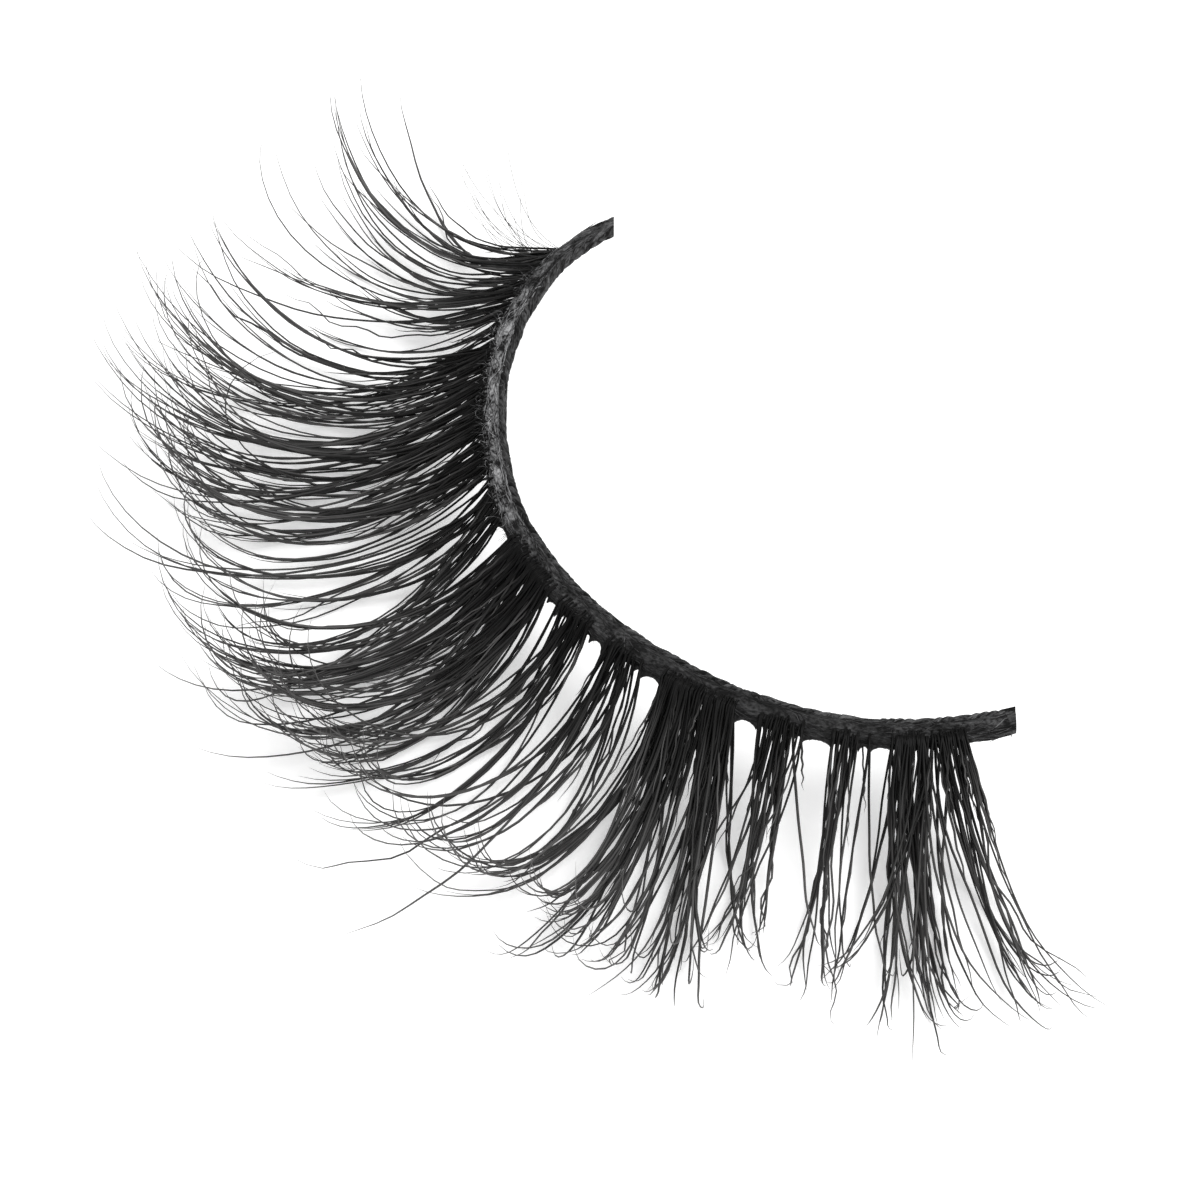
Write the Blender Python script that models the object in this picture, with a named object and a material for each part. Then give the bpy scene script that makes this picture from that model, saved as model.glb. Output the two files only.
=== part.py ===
"""A strip of false eyelashes, lying on its curled hairs.

A flat cotton band bends round the edge of the eyelid. Tufts of hair are knotted and glued to its
outer side. Each tuft is a short root knot with tapered locks, which dip to the table, touch it
with their bellies and curl up to their tips. Lengths are in metres, angles in degrees, +Z is up,
the band's chord runs along X and the hairs point to -Y.
"""

import math

import bmesh
import bpy
from mathutils import Vector

# The band
BAND_LENGTH = 0.035
BAND_WIDTH = 0.001
BAND_THICKNESS = 0.0005
BAND_EDGE_ROUND = 0.00012
BAND_LIFT = 0.0033

# The hair
LASH_LENGTH = 0.0162
LOCK_THICKNESS = 0.00012
LOCK_TIP = 0.00004

# The root knots
ROOT_DEPTH = 0.00035
ROOT_HEIGHT = 0.0005
ROOT_GAP = 0.00006

# How finely the shapes are divided
BAND_STEPS = 28
CURVE_STEPS = 240
LOCK_SECTIONS = 8
STEPS_PER_SECTION = 4

# The band's bends: share of the band's length, turn over that stretch
BENDS = (
    (0.20, 47.4),
    (0.20, 24.1),
    (0.15, 26.7),
    (0.22, 27.2),
    (0.14, 24.5),
    (0.09, 15.3),
)

# The band's two edges: station as a share of its length, reach of the hair side from the centre
# line and reach of the inner side, both as shares of BAND_WIDTH
BAND_EDGES = (
    (0.00, 0.31, 0.33),
    (0.07, 0.32, 0.36),
    (0.11, 0.35, 0.50),
    (0.18, 0.36, 0.50),
    (0.25, 0.38, 0.42),
    (0.41, 0.40, 0.44),
    (0.48, 0.40, 0.60),
    (0.96, 0.40, 0.60),
    (1.00, 0.40, 0.54),
)

# The tufts: where each root knot starts and ends as shares of the band's length, locks across it
TUFTS = (
    (0.066, 0.100, 4),
    (0.106, 0.137, 3),
    (0.143, 0.178, 4),
    (0.186, 0.225, 4),
    (0.232, 0.270, 4),
    (0.276, 0.311, 4),
    (0.319, 0.361, 4),
    (0.373, 0.420, 4),
    (0.433, 0.473, 4),
    (0.479, 0.521, 4),
    (0.535, 0.580, 4),
    (0.597, 0.638, 4),
    (0.653, 0.696, 4),
    (0.702, 0.740, 4),
    (0.762, 0.804, 4),
    (0.826, 0.866, 4),
    (0.882, 0.917, 4),
    (0.922, 0.955, 4),
)

# The flow of the hair along the band: station, length as a share of LASH_LENGTH, lean of the roots
# towards the band's far end, further lean by the tips, pitch of the tips, ease of the curl
FLOW = (
    (0.06, 0.76, 0, -16, 90, 2.0),
    (0.13, 0.88, -2, -10, 78, 1.7),
    (0.22, 0.97, -1, -8, 90, 1.5),
    (0.32, 0.97, 0, -4, 90, 1.4),
    (0.45, 1.00, 4, -3, 92, 1.2),
    (0.60, 0.98, 6, -2, 92, 1.05),
    (0.70, 0.86, 6, 0, 76, 1.15),
    (0.74, 0.80, 2, 2, 68, 1.3),
    (0.78, 0.72, 3, 3, 60, 1.5),
    (0.86, 0.74, 1, 4, 58, 1.5),
    (0.91, 0.79, 1, 5, 58, 1.5),
    (0.96, 0.75, 8, 9, 48, 1.5),
)

# The rows of a root knot, lowest first: length as a share of the flow's, height of the belly above
# the table as a share of BAND_LIFT, change of the tips' pitch
ROWS = (
    (1.00, 0.00, 0),
    (0.90, 0.34, 6),
)

# The habit of neighbouring locks, taken in turn: length as a share of the row's, rise of the belly
# as a share of BAND_LIFT, change of the tips' pitch, lean
HABITS = (
    (1.00, 0.00, 0, 0.8),
    (0.93, 0.03, 5, -0.6),
    (0.98, 0.00, -4, 0.4),
    (0.88, 0.06, 3, -0.9),
)

# How far the locks of a tuft spread: the stretch of band whose directions they take, as a share of
# the tuft's own
SPREAD = 1.12

# How wide a lock is where it leaves the knot, as a share of its place in the row
LOCK_FILL = 0.86

# How a lock thins along its length: share of the length, share of its root
LOCK_TAPER = (
    (0.00, 1.00),
    (0.30, 0.92),
    (0.65, 0.66),
    (1.00, 0.00),
)

STEEPEST_ROOT = -84.0
LEVEL_ROOT = 0.0
PITCH_TRIES = 24


def read_table(table, place):
    """The table's row at a place, blended between the two rows on either side of it."""
    if place <= table[0][0]:
        return table[0][1:]
    for low, high in zip(table, table[1:]):
        if place <= high[0]:
            share = (place - low[0]) / (high[0] - low[0])
            return tuple(a + (b - a) * share for a, b in zip(low[1:], high[1:]))
    return table[-1][1:]


def bend_at(station):
    """How far the band has turned between its near end and a station."""
    turned = 0.0
    reached = 0.0
    for share, turn in BENDS:
        if station <= reached + share:
            return turned + turn * (station - reached) / share
        turned += turn
        reached += share
    return turned


def band_curve():
    """The band's centre line, its chord centred on X, and the chord's own heading."""
    step = BAND_LENGTH / CURVE_STEPS
    points = [Vector((0.0, 0.0))]
    for index in range(CURVE_STEPS):
        heading = math.radians(bend_at((index + 0.5) / CURVE_STEPS))
        points.append(points[-1] + Vector((math.cos(heading), math.sin(heading))) * step)
    chord = math.atan2(points[-1].y, points[-1].x)
    across, along = math.sin(-chord), math.cos(-chord)
    turned = [Vector((p.x * along - p.y * across, p.x * across + p.y * along)) for p in points]
    middle = Vector((turned[-1].x / 2, 0.0))
    return [point - middle for point in turned], math.degrees(chord)


CURVE, CHORD_HEADING = band_curve()


def heading_at(station):
    return bend_at(station) - CHORD_HEADING


def band_point(station, outward, height):
    """A point beside the band: outward from its centre line towards the hair, at a height."""
    place = min(max(station, 0.0), 1.0) * CURVE_STEPS
    index = min(int(place), CURVE_STEPS - 1)
    centre = CURVE[index].lerp(CURVE[index + 1], place - index)
    heading = math.radians(heading_at(station))
    out = Vector((math.sin(heading), -math.cos(heading))) * outward
    return Vector((centre.x + out.x, centre.y + out.y, height))


def band_reach(station):
    """How far the band reaches from its centre line to the hair side and to the inner side."""
    hair_side, inner_side = read_table(BAND_EDGES, station)
    return BAND_WIDTH * hair_side, BAND_WIDTH * inner_side


def slab(bm, x_segments, y_segments, place):
    """A closed slab whose back lies where place(u, v, 0) says and whose front where place(u, v, 1) does."""
    made = bmesh.ops.create_grid(bm, x_segments=x_segments, y_segments=y_segments, size=0.5)
    back = {vert: (vert.co.x + 0.5, vert.co.y + 0.5) for vert in made["verts"]}
    raised = bmesh.ops.extrude_face_region(bm, geom=bm.faces[:], use_keep_orig=True)["geom"]
    front = [item for item in raised if isinstance(item, bmesh.types.BMVert)]
    for vert in front:
        vert.co = place(vert.co.x + 0.5, vert.co.y + 0.5, 1.0)
    for vert, (u, v) in back.items():
        vert.co = place(u, v, 0.0)
    bmesh.ops.recalc_face_normals(bm, faces=bm.faces)
    return [item for item in raised if isinstance(item, bmesh.types.BMFace)]


def band_mesh():
    """The flat strip of cotton, level underneath, with its four long edges rounded."""

    def place(u, v, top):
        hair_side, inner_side = band_reach(u)
        outward = hair_side - (hair_side + inner_side) * v
        return band_point(u, outward, BAND_LIFT + BAND_THICKNESS * top)

    bm = bmesh.new()
    slab(bm, BAND_STEPS, 1, place)
    long_edges = [
        edge for edge in bm.edges
        if edge.calc_face_angle() > math.radians(60)
        and abs(edge.verts[0].co.z - edge.verts[1].co.z) < BAND_THICKNESS / 2
        and (edge.verts[0].co - edge.verts[1].co).length > BAND_LENGTH / BAND_STEPS / 2
    ]
    bmesh.ops.bevel(bm, geom=long_edges, offset=BAND_EDGE_ROUND, offset_type="OFFSET",
                    affect="EDGES", segments=2, profile=0.5, material=-1)
    return bm


def half_thickness(share):
    return (LOCK_TIP + (LOCK_THICKNESS - LOCK_TIP) * read_table(LOCK_TAPER, share)[0]) / 2


def half_width(share, root_width):
    return (LOCK_TIP + (root_width - LOCK_TIP) * read_table(LOCK_TAPER, share)[0]) / 2


def pitch_at(share, root_pitch, tip_pitch, ease):
    return math.radians(root_pitch + (tip_pitch - root_pitch) * share ** ease)


def lowest_under(root_height, root_pitch, length, tip_pitch, ease):
    """The height of the lowest underside of a lock that leaves its root at a pitch."""
    steps = LOCK_SECTIONS * STEPS_PER_SECTION
    height = lowest = root_height
    for index in range(steps):
        height += math.sin(pitch_at((index + 0.5) / steps, root_pitch, tip_pitch, ease)) * length / steps
        lowest = min(lowest, height - half_thickness((index + 1) / steps))
    return lowest


def root_pitch_for(belly, root_height, length, tip_pitch, ease):
    """The pitch at the root that brings a lock's belly down to a height above the table."""
    steep, level = STEEPEST_ROOT, LEVEL_ROOT
    for _ in range(PITCH_TRIES):
        middle = (steep + level) / 2
        if lowest_under(root_height, middle, length, tip_pitch, ease) < belly:
            steep = middle
        else:
            level = middle
    return level


def lock_sections(root, direction, lean, length, tip_pitch, ease, belly):
    """The sections of a lock after its root: centre, side and upper direction, share of its length."""
    steps = LOCK_SECTIONS * STEPS_PER_SECTION
    root_pitch = root_pitch_for(belly, root.z, length, tip_pitch, ease)
    centre = root.copy()
    for index in range(steps):
        share = (index + 0.5) / steps
        pitch = pitch_at(share, root_pitch, tip_pitch, ease)
        yaw = math.radians(direction + lean * share)
        along = Vector((math.cos(yaw) * math.cos(pitch), math.sin(yaw) * math.cos(pitch), math.sin(pitch)))
        centre = centre + along * length / steps
        if (index + 1) % STEPS_PER_SECTION == 0:
            side = Vector((-math.sin(yaw), math.cos(yaw), 0.0))
            yield centre, side, along.cross(side), (index + 1) / steps


def draw_lock(bm, face, side, root_width, sections):
    """Extrudes one face of the root knot section by section along a lock."""
    corners = {}
    middle = face.calc_center_median()
    for vert in face.verts:
        away = vert.co - middle
        corners[vert.index] = (math.copysign(1, away.dot(side)), math.copysign(1, away.z))
    order = [corners[vert.index] for vert in face.verts]
    for centre, across, upward, share in sections:
        face = bmesh.ops.extrude_discrete_faces(bm, faces=[face])["faces"][0]
        for vert, (right, high) in zip(face.verts, order):
            sideways = across * right * half_width(share, root_width)
            vert.co = centre + sideways + upward * high * half_thickness(share)


def tuft_mesh(number, start, end, columns):
    """A root knot against the band's outer side and the locks that grow from its face."""

    def place(u, v, front):
        station = start + (end - start) * u
        outward = band_reach(station)[0] + ROOT_GAP + ROOT_DEPTH * front
        return band_point(station, outward, BAND_LIFT + BAND_THICKNESS / 2 + ROOT_HEIGHT * (v - 0.5))

    bm = bmesh.new()
    faces = slab(bm, columns, len(ROWS), place)
    bm.verts.index_update()
    middle = (start + end) / 2
    root_width = BAND_LENGTH * (end - start) / columns * LOCK_FILL
    for face in faces:
        root = face.calc_center_median()
        row = int(root.z > BAND_LIFT + BAND_THICKNESS / 2)
        nearest = min(range(columns), key=lambda c: (root - place((c + 0.5) / columns, 0.5, 1)).length)
        station = start + (end - start) * (nearest + 0.5) / columns
        aim = middle + (station - middle) * SPREAD
        share, lean, sweep, tip_pitch, ease = read_table(FLOW, station)
        row_share, row_belly, row_pitch = ROWS[row]
        own_share, own_belly, own_pitch, own_lean = HABITS[(nearest + row + number) % len(HABITS)]
        direction = heading_at(aim) - 90 + lean + own_lean
        length = LASH_LENGTH * share * row_share * own_share
        pitch = tip_pitch + row_pitch + own_pitch
        belly = BAND_LIFT * (row_belly + own_belly)
        yaw = math.radians(direction)
        side = Vector((-math.sin(yaw), math.cos(yaw), 0.0))
        sections = lock_sections(root, direction, sweep, length, pitch, ease, belly)
        draw_lock(bm, face, side, root_width, sections)
    return bm


def coloured(name, colour, roughness):
    material = bpy.data.materials.new(name)
    material.use_nodes = True
    shader = material.node_tree.nodes["Principled BSDF"]
    shader.inputs["Base Color"].default_value = (*colour, 1.0)
    shader.inputs["Roughness"].default_value = roughness
    shader.inputs["Metallic"].default_value = 0.0
    return material


def object_from(name, bm, material):
    mesh = bpy.data.meshes.new(name)
    bm.to_mesh(mesh)
    bm.free()
    mesh.materials.append(material)
    mesh.shade_smooth()
    mesh.set_sharp_from_angle(angle=math.radians(40))
    piece = bpy.data.objects.new(name, mesh)
    bpy.context.scene.collection.objects.link(piece)
    return piece


def stand_on_origin(pieces):
    """Moves all pieces so that the middle of the bottom of their common box is the origin."""
    corners = [vert.co for piece in pieces for vert in piece.data.vertices]
    low = Vector(min(corner[axis] for corner in corners) for axis in range(3))
    high = Vector(max(corner[axis] for corner in corners) for axis in range(3))
    for piece in pieces:
        piece.location = -Vector(((low.x + high.x) / 2, (low.y + high.y) / 2, low.z))


for leftover in list(bpy.data.objects):
    bpy.data.objects.remove(leftover, do_unlink=True)

cotton = coloured("black_cotton", (0.012, 0.012, 0.013), 0.9)
hair = coloured("black_hair", (0.008, 0.008, 0.009), 0.45)

assembly = [object_from("band", band_mesh(), cotton)]
for number, (start, end, columns) in enumerate(TUFTS, start=1):
    assembly.append(object_from(f"tuft_{number:02d}", tuft_mesh(number, start, end, columns), hair))
stand_on_origin(assembly)
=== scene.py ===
"""The looks of a strip of false eyelashes, lying on its curled hairs.

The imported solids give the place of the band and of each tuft. Here the band is made as a cotton
thread, a cotton tape and loose fibres, the glue as a thin web along the roots, and each tuft as
single hairs. Lengths are in metres and angles in degrees, as in the solids.
"""

import math

import bmesh
import bpy
import numpy as np
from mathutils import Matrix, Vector


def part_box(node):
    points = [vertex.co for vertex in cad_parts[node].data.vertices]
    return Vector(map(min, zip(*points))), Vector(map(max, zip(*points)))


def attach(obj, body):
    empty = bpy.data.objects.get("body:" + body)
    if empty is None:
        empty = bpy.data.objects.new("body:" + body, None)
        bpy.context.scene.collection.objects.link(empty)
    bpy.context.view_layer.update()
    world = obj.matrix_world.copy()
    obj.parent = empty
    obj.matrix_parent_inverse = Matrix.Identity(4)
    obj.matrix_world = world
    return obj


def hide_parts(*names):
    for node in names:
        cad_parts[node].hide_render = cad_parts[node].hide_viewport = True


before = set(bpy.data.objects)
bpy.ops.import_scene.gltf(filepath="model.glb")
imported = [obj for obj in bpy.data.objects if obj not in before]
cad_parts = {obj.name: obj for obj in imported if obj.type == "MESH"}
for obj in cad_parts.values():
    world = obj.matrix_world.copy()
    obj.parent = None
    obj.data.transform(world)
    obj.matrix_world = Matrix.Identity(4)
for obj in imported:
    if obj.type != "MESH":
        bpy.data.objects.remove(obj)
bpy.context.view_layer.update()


# The edge thread
# A black cotton thread of three plies, twisted, runs along the inner edge of the band. Its plies
# make the small scallops of that edge, and it is cut blunt at both ends.

MILLIMETRE = 0.001
BAND_LENGTH = 0.035
BAND_WIDTH = 0.001
BAND_STEPS = 28
CURVE_STEPS = 240
BAND_LOW, BAND_HIGH = (corner.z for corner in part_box("band"))
BAND_MIDDLE = (BAND_LOW + BAND_HIGH) / 2
BAND_THICKNESS = BAND_HIGH - BAND_LOW

# The band's bends: share of the band's length, turn over that stretch
BENDS = (
    (0.20, 47.4),
    (0.20, 24.1),
    (0.15, 26.7),
    (0.22, 27.2),
    (0.14, 24.5),
    (0.09, 15.3),
)

# The band's two edges: station as a share of its length, reach of the hair side from the centre
# line and reach of the inner side, both as shares of BAND_WIDTH
BAND_EDGES = (
    (0.00, 0.31, 0.33),
    (0.07, 0.32, 0.36),
    (0.11, 0.35, 0.50),
    (0.18, 0.36, 0.50),
    (0.25, 0.38, 0.42),
    (0.41, 0.40, 0.44),
    (0.48, 0.40, 0.60),
    (0.96, 0.40, 0.60),
    (1.00, 0.40, 0.54),
)

# The band is drawn a little long, and both its ends are cut off along the same direction
END_SPARE = 0.014
CUT_FACING = 59.5
CUT_REACH = 0.0015

THREAD_WIDTH = 0.00036
THREAD_LAY = 0.0013
THREAD_KNOTS = 60
THREAD_PLIES = 3
THREAD_STEPS_PER_LAY = 14
THREAD_SWAY = 0.00002
THREAD_TWIST_CHANGE = 0.25
PLY_SIDES = 8
PLY_WIDTH_SHARE = 0.56
PLY_WIDTH_CHANGE = 0.08
PLY_KNOTS = 3 * THREAD_KNOTS


def read_table(table, place):
    """The columns of a table at each place, blended between the rows on either side."""
    columns = np.array(table, float).T
    return [np.interp(place, columns[0], column) for column in columns[1:]]


def unit(vectors):
    """The same vectors, each one long."""
    return vectors / np.linalg.norm(vectors, axis=-1, keepdims=True)


BEND_PLACES = np.cumsum([0.0] + [share for share, turn in BENDS])
BEND_TURNS = np.cumsum([0.0] + [turn for share, turn in BENDS])


def band_curve():
    """The band's centre line with its chord centred on X, and the chord's own heading."""
    middles = (np.arange(CURVE_STEPS) + 0.5) / CURVE_STEPS
    heading = np.radians(np.interp(middles, BEND_PLACES, BEND_TURNS))
    walk = np.cumsum(np.stack([np.cos(heading), np.sin(heading)], axis=1), axis=0)
    walk = np.vstack([(0.0, 0.0), walk]) * BAND_LENGTH / CURVE_STEPS
    chord = math.atan2(walk[-1, 1], walk[-1, 0])
    along, across = math.cos(chord), math.sin(chord)
    turned = np.stack([walk[:, 0] * along + walk[:, 1] * across,
                       walk[:, 1] * along - walk[:, 0] * across], axis=1)
    return turned - (turned[-1, 0] / 2, 0.0), math.degrees(chord)


CURVE, CHORD_HEADING = band_curve()
band_shift = np.zeros(2)


def heading_at(station):
    """The band's heading at each station, carried on beyond its ends."""
    return np.interp(station, BEND_PLACES, BEND_TURNS) - CHORD_HEADING


def beside_band(station, outward, height):
    """Points beside the band: outward from its centre line towards the hair, at a height."""
    station = np.asarray(station, float)
    places = np.clip(station, 0, 1) * CURVE_STEPS
    counts = np.arange(CURVE_STEPS + 1)
    heading = np.radians(heading_at(station))
    past = (station - np.clip(station, 0, 1)) * BAND_LENGTH
    x = np.interp(places, counts, CURVE[:, 0]) + np.sin(heading) * outward + np.cos(heading) * past
    y = np.interp(places, counts, CURVE[:, 1]) - np.cos(heading) * outward + np.sin(heading) * past
    return np.stack([x + band_shift[0], y + band_shift[1], height + np.zeros_like(x)], axis=-1)


def band_reach(station):
    """How far the band reaches from its centre line to the hair side and to the inner side."""
    hair_side, inner_side = read_table(BAND_EDGES, station)
    return BAND_WIDTH * hair_side, BAND_WIDTH * inner_side


# The solid band has BAND_STEPS stretches, and was moved so that the part stands on the origin
edge_stations = np.arange(BAND_STEPS + 1) / BAND_STEPS
edges = np.concatenate([beside_band(edge_stations, sign * reach, 0.0)
                        for sign, reach in zip((1, -1), band_reach(edge_stations))])
band_shift = np.array(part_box("band")[0])[:2] - edges[:, :2].min(axis=0)

STRAND_SIDES = 4

# A direction that no strand starts along
ACROSS_STRANDS = (0.31, 0.17, 0.93)


def frames_along(paths):
    """Two directions square to each path at each of its points, carried along without a twist."""
    tangents = unit(np.gradient(paths, axis=1))
    side = unit(np.cross(tangents[:, 0], ACROSS_STRANDS))
    sides = [side]
    for index in range(1, paths.shape[1]):
        tangent = tangents[:, index]
        side = unit(side - (side * tangent).sum(axis=-1, keepdims=True) * tangent)
        sides.append(side)
    sides = np.stack(sides, axis=1)
    return sides, np.cross(tangents, sides)


def draw_strands(bm, paths, radii, tones, sides=STRAND_SIDES):
    """Draws each path as a strand of the given radii, closed at both ends, all strands together.

    Every point keeps its share along its strand, the strand's tone, and where it lies on the strand.
    """
    strand = bm.faces.layers.int.get("strand") or bm.faces.layers.int.new("strand")
    corner = bm.verts.layers.int.get("corner") or bm.verts.layers.int.new("corner")
    along = bm.verts.layers.float.get("along") or bm.verts.layers.float.new("along")
    tone = bm.verts.layers.float.get("tone") or bm.verts.layers.float.new("tone")
    lie = bm.verts.layers.float_vector.get("lie") or bm.verts.layers.float_vector.new("lie")
    reach = np.cumsum(np.linalg.norm(np.diff(paths, axis=1, prepend=paths[:, :1]), axis=2), axis=1)
    across, upward = frames_along(paths)
    turns = 2 * np.pi * np.arange(sides) / sides
    spokes = across[:, :, None] * np.cos(turns)[:, None] + upward[:, :, None] * np.sin(turns)[:, None]
    rings = paths[:, :, None] + radii[:, :, None, None] * spokes
    faces = []
    for number in range(len(paths)):
        verts = bmesh.ops.create_circle(bm, segments=sides, radius=1.0, cap_ends=True)["verts"]
        face = verts[0].link_faces[0]
        face[strand] = number
        for count, vert in enumerate(verts):
            vert[corner] = count
        faces.append(face)
    last = paths.shape[1] - 1
    for index in range(last + 1):
        if index:
            faces = bmesh.ops.extrude_discrete_faces(bm, faces=faces)["faces"]
        for face in faces:
            number = face[strand]
            for vert in face.verts:
                vert.co = rings[number, index, vert[corner]]
                vert[along] = index / last
                vert[tone] = tones[number]
                around = 2 * math.pi * vert[corner] / sides
                vert[lie] = (reach[number, index], radii[number, index] * around, number * MILLIMETRE)
    bmesh.ops.holes_fill(bm, edges=[edge for edge in bm.edges if edge.is_boundary], sides=0)
    bmesh.ops.recalc_face_normals(bm, faces=bm.faces)


def piece_from(name, bm, material, slot, *nodes):
    """Makes a bmesh a piece that rides with the part, takes a finish and stands for solids."""
    mesh = bpy.data.meshes.new(name)
    bm.to_mesh(mesh)
    bm.free()
    mesh.materials.append(material)
    mesh.shade_smooth()
    piece = bpy.data.objects.new(name, mesh)
    bpy.context.scene.collection.objects.link(piece)
    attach(piece, "root")
    if nodes:
        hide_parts(*nodes)
    return piece


def node_group(name, inputs, outputs):
    """An empty shader group with named inputs, as (name, kind, value), and outputs, as (name, kind)."""
    group = bpy.data.node_groups.new(name, "ShaderNodeTree")
    for label, kind, value in inputs:
        group.interface.new_socket(label, in_out="INPUT", socket_type=kind).default_value = value
    for label, kind in outputs:
        group.interface.new_socket(label, in_out="OUTPUT", socket_type=kind)
    return group, group.nodes.new("NodeGroupInput"), group.nodes.new("NodeGroupOutput")


# The mottle of the fibres: the detail of its patches and of its grain, and the values of the two
# multiplied at which it starts and ends turning pale
PATCH_DETAIL = 3.0
GRAIN_DETAIL = 4.0
GRAIN_ROUGHNESS = 0.65
PALE_FROM = 0.20
PALE_TO = 0.38


def mottle_group():
    """Streaks a surface between a dark and a pale colour and gives a height for its fibres."""
    group, given, put = node_group(
        "fibre_mottle",
        (("Lie", "NodeSocketVector", (0.0, 0.0, 0.0)),
         ("Dark", "NodeSocketColor", (0.0, 0.0, 0.0, 1.0)),
         ("Pale", "NodeSocketColor", (1.0, 1.0, 1.0, 1.0)),
         ("Paleness", "NodeSocketFloat", 0.5),
         ("Patch Scale", "NodeSocketFloat", 1500.0),
         ("Grain Scale", "NodeSocketFloat", 9000.0)),
        (("Color", "NodeSocketColor"), ("Height", "NodeSocketFloat")))
    nodes, links = group.nodes, group.links
    patches = nodes.new("ShaderNodeTexNoise")
    patches.inputs["Detail"].default_value = PATCH_DETAIL
    grain = nodes.new("ShaderNodeTexNoise")
    grain.inputs["Detail"].default_value = GRAIN_DETAIL
    grain.inputs["Roughness"].default_value = GRAIN_ROUGHNESS
    for texture, scale in ((patches, "Patch Scale"), (grain, "Grain Scale")):
        links.new(given.outputs["Lie"], texture.inputs["Vector"])
        links.new(given.outputs[scale], texture.inputs["Scale"])
    both = nodes.new("ShaderNodeMath")
    both.operation = "MULTIPLY"
    links.new(patches.outputs["Fac"], both.inputs[0])
    links.new(grain.outputs["Fac"], both.inputs[1])
    spread = nodes.new("ShaderNodeMapRange")
    spread.inputs["From Min"].default_value = PALE_FROM
    spread.inputs["From Max"].default_value = PALE_TO
    links.new(both.outputs[0], spread.inputs["Value"])
    share = nodes.new("ShaderNodeMath")
    share.operation = "MULTIPLY"
    links.new(spread.outputs["Result"], share.inputs[0])
    links.new(given.outputs["Paleness"], share.inputs[1])
    mix = nodes.new("ShaderNodeMix")
    mix.data_type = "RGBA"
    links.new(share.outputs[0], mix.inputs["Factor"])
    links.new(given.outputs["Dark"], mix.inputs["A"])
    links.new(given.outputs["Pale"], mix.inputs["B"])
    links.new(mix.outputs["Result"], put.inputs["Color"])
    links.new(grain.outputs["Fac"], put.inputs["Height"])
    return group


FIBRE_MOTTLE = mottle_group()
STREAK_STRETCH = (0.36, 1.0, 1.0)
FIBRE_RELIEF = 0.8


def mottled(name, dark, pale, patch_scale, grain_scale, roughness, specular, bump):
    """A fibrous finish that is paler where the piece's tone says, with a bump for the fibres."""
    material = bpy.data.materials.new(name)
    material.use_nodes = True
    nodes, links = material.node_tree.nodes, material.node_tree.links
    shader = nodes["Principled BSDF"]
    shader.inputs["Roughness"].default_value = roughness
    shader.inputs["Specular IOR Level"].default_value = specular
    mottle = nodes.new("ShaderNodeGroup")
    mottle.node_tree = FIBRE_MOTTLE
    mottle.inputs["Dark"].default_value = (*dark, 1.0)
    mottle.inputs["Pale"].default_value = (*pale, 1.0)
    mottle.inputs["Patch Scale"].default_value = patch_scale
    mottle.inputs["Grain Scale"].default_value = grain_scale
    tone = nodes.new("ShaderNodeAttribute")
    tone.attribute_name = "tone"
    links.new(tone.outputs["Fac"], mottle.inputs["Paleness"])
    lie = nodes.new("ShaderNodeAttribute")
    lie.attribute_name = "lie"
    stretch = nodes.new("ShaderNodeMapping")
    stretch.inputs["Scale"].default_value = STREAK_STRETCH
    links.new(lie.outputs["Vector"], stretch.inputs["Vector"])
    links.new(stretch.outputs["Vector"], mottle.inputs["Lie"])
    links.new(mottle.outputs["Color"], shader.inputs["Base Color"])
    relief = nodes.new("ShaderNodeBump")
    relief.inputs["Strength"].default_value = FIBRE_RELIEF
    relief.inputs["Distance"].default_value = bump
    links.new(mottle.outputs["Height"], relief.inputs["Height"])
    links.new(relief.outputs["Normal"], shader.inputs["Normal"])
    return material


COTTON_SHEEN = 0.05
COTTON = mottled("black_cotton", dark=(0.006, 0.006, 0.006), pale=(0.34, 0.34, 0.345),
                 patch_scale=3500.0, grain_scale=16000.0, roughness=0.95, specular=0.1, bump=0.00004)
COTTON.node_tree.nodes["Principled BSDF"].inputs["Sheen Weight"].default_value = COTTON_SHEEN

# How pale the cotton is along the band: station, share at the hair side, share at the inner edge
PALENESS = (
    (0.00, 0.30, 0.36),
    (0.10, 0.52, 0.28),
    (0.17, 1.05, 0.22),
    (0.38, 1.05, 0.22),
    (0.46, 0.26, 0.28),
    (0.70, 0.13, 0.36),
    (0.90, 0.16, 0.32),
    (1.00, 0.30, 0.36),
)

# All the band's random changes are drawn from these dice, in one order
dice = np.random.default_rng(7)
KNOT_SPARE = 0.01


def uneven(station, knots, amount):
    """A smooth random change along the band, drawn at evenly spaced knots."""
    places = np.linspace(-KNOT_SPARE, 1 + KNOT_SPARE, knots)
    return np.interp(station, places, dice.normal(0, amount, knots))


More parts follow.
